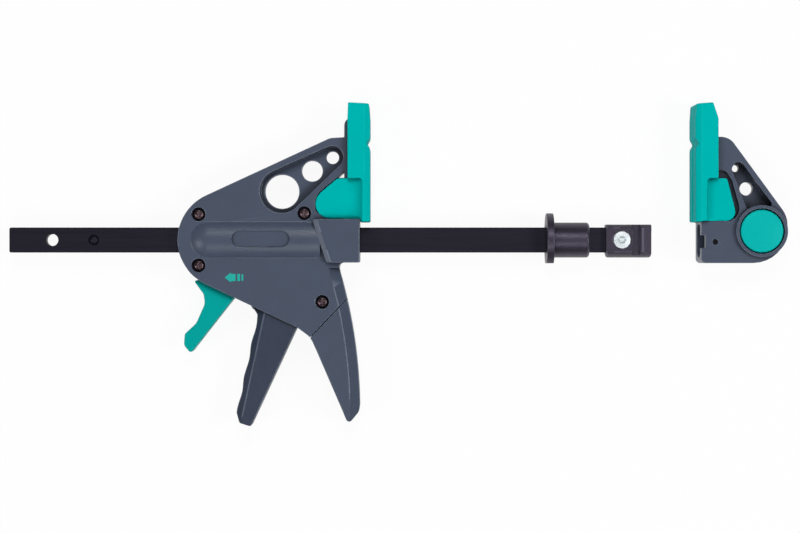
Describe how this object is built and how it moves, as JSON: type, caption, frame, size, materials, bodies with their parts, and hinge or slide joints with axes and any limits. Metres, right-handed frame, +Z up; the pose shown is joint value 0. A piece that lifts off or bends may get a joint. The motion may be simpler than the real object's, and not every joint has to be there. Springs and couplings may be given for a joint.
{
  "type": "table clamp",
  "caption": "One-hand bar clamp with trigger, release lever, soft pads, a push-button jaw that comes off and a flanged spigot that holds it in a bench hole.",
  "frame": {"origin": "centre of the table spigot's flange seat, on the axis of the bar", "axes": "+X along the bar towards the loose jaw, +Y from the bar to the jaw tips, +Z up out of the near side"},
  "size_m": [0.4332, 0.1797, 0.031],
  "materials": {
    "slate_plastic": "glass-filled nylon, fine moulded grain",
    "teal_rubber": "soft moulded rubber, satin",
    "teal_plastic": "moulded, satin",
    "black_plastic": "moulded, satin",
    "black_steel": "black-oxide, satin",
    "plain_steel": "plain, oiled",
    "dark_screw": "black zinc",
    "zinc_screw": "bright zinc"
  },
  "bodies": {
    "head": {"rear_housing": "slate_plastic", "front_cover": "slate_plastic", "housing_screws": "dark_screw", "head_pad": "teal_rubber", "trigger_pin": "plain_steel", "release_pin": "plain_steel", "drive_spring": "plain_steel", "brake_spring": "plain_steel"},
    "trigger": {"trigger_lever": "slate_plastic"},
    "drive": {"drive_plates": "plain_steel"},
    "release": {"release_lever": "teal_plastic"},
    "brake": {"brake_plate": "plain_steel"},
    "bar": {"bar": "black_steel", "stop_rivet": "black_steel", "end_plug": "black_plastic", "plug_screw": "zinc_screw", "plug_nut": "zinc_screw"},
    "spigot": {"table_spigot": "black_plastic"},
    "jaw": {"jaw_body": "slate_plastic", "jaw_pad": "teal_rubber", "latch_spring": "plain_steel", "jaw_cover": "slate_plastic", "cover_screws": "dark_screw"},
    "button": {"lock_button": "teal_plastic"}
  },
  "joints": [
    {"name": "bar_slide", "type": "slide", "parent": "head", "child": "bar", "axis": [1, 0, 0], "range_m": [-0.08, 0.044]},
    {"name": "spigot_slide", "type": "slide", "parent": "bar", "child": "spigot", "axis": [1, 0, 0], "range_m": [-0.017, 0.009]},
    {"name": "jaw_slide", "type": "slide", "parent": "bar", "child": "jaw", "axis": [1, 0, 0], "range_m": [-0.0518, 0], "deforming": ["latch_spring"]},
    {"name": "button_press", "type": "slide", "parent": "jaw", "child": "button", "axis": [0, 0, -1], "range_m": [0, 0.0024], "stiffness_N_per_m": 300, "springref_m": -0.003, "deforming": ["latch_spring"]},
    {"name": "trigger_squeeze", "type": "hinge", "parent": "head", "child": "trigger", "pos_m": [-0.1501, -0.028, 0], "axis": [0, 0, 1], "range_deg": [0, 22], "stiffness_Nm_per_rad": 0.3, "springref_deg": -5.73},
    {"name": "drive_push", "type": "slide", "parent": "head", "child": "drive", "axis": [1, 0, 0], "range_m": [-0.0068, 0], "deforming": ["drive_spring"]},
    {"name": "release_pull", "type": "hinge", "parent": "head", "child": "release", "pos_m": [-0.18439, -0.023, 0], "axis": [0, 0, 1], "range_deg": [0, 14], "stiffness_Nm_per_rad": 0.1, "springref_deg": -5.73},
    {"name": "brake_tilt", "type": "hinge", "parent": "head", "child": "brake", "pos_m": [-0.1908, 0.0105, 0], "axis": [0, 0, 1], "range_deg": [-7, 0], "deforming": ["brake_spring"]}
  ],
  "couplings": [
    {"joint": "drive_push", "follows": "trigger_squeeze", "m_per_rad": -0.0175},
    {"joint": "brake_tilt", "follows": "release_pull", "ratio": -0.49}
  ]
}
